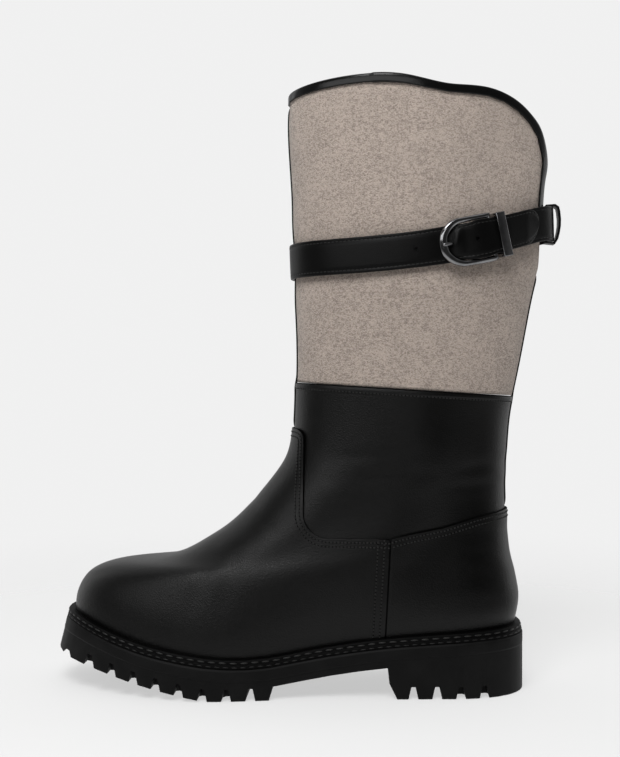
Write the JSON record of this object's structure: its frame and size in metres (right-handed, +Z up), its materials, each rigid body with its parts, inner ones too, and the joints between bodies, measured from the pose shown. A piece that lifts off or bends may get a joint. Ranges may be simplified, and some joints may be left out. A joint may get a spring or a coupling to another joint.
{
  "type": "winter boot",
  "caption": "Left winter boot with a lug sole, stitched welt, leather foot, felt shaft split at the back and a buckled strap round the shaft.",
  "frame": {"origin": "on the floor under the middle of the boot's box", "axes": "+Z up the shaft, -X towards the toe, -Y towards the outer side of the foot"},
  "size_m": [0.3058, 0.1025, 0.3605],
  "materials": {
    "rubber": "matt moulded",
    "welt_leather": "satin, stitched",
    "insole_board": "matt",
    "leather": "smooth satin",
    "felt": "heathered wool felt",
    "trim_leather": "satin",
    "strap_leather": "smooth satin",
    "buckle_metal": "dark polished"
  },
  "bodies": {
    "root": {"outsole": "rubber", "welt": "welt_leather", "insole": "insole_board", "upper": "leather", "vamp": "leather", "counter": "leather", "shaft": "felt", "collar_binding": "trim_leather", "front_piping": "trim_leather", "back_piping": "trim_leather", "strap": "strap_leather", "back_loop": "strap_leather", "buckle_frame": "buckle_metal", "buckle_prong": "buckle_metal", "keeper": "buckle_metal"}
  },
  "joints": []
}
